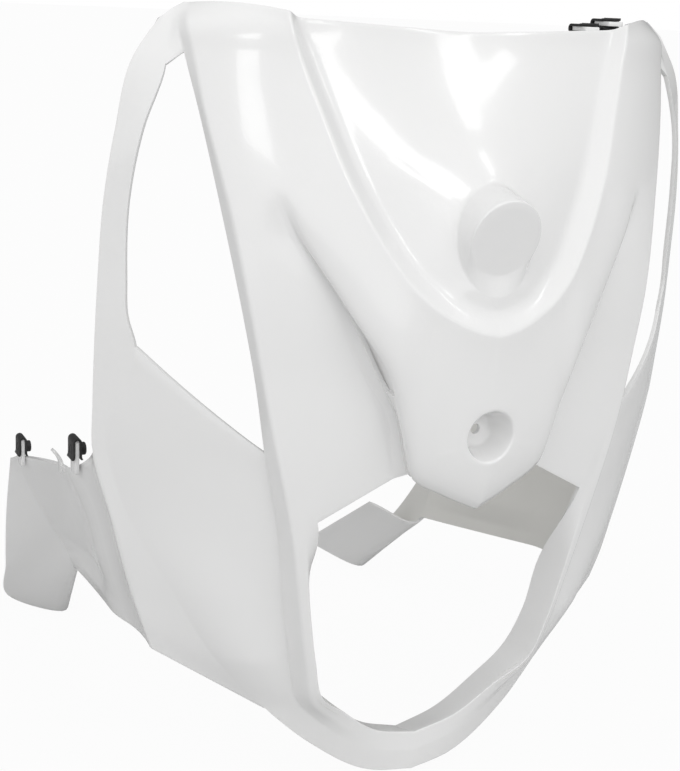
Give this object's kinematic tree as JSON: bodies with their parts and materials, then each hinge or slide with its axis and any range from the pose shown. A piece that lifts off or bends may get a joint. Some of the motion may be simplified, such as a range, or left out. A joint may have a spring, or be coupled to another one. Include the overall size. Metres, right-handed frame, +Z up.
{
  "type": "scooter front cover",
  "caption": "Moulded white scooter front cover with side windows, a lower opening, a bare badge place, a recessed screw place and swept rear wings with clip nuts.",
  "frame": {"origin": "on the ground under the middle of the cover, which stands on its chin and the feet of its two wings", "axes": "+X to the cover's right as seen from the front, +Y to the back, +Z up; x = 0 is the middle plane"},
  "size_m": [0.4584, 0.5304, 0.5461],
  "materials": {
    "moulding": "white gloss paint on moulded plastic, off-white unpainted inside",
    "clip": "black finish"
  },
  "bodies": {
    "root": {"front_cover": "moulding", "wing_clip_right_rear": "clip", "wing_clip_left_rear": "clip", "wing_clip_right_front": "clip", "wing_clip_left_front": "clip", "top_clip_inner": "clip", "top_clip_outer": "clip"}
  },
  "joints": []
}
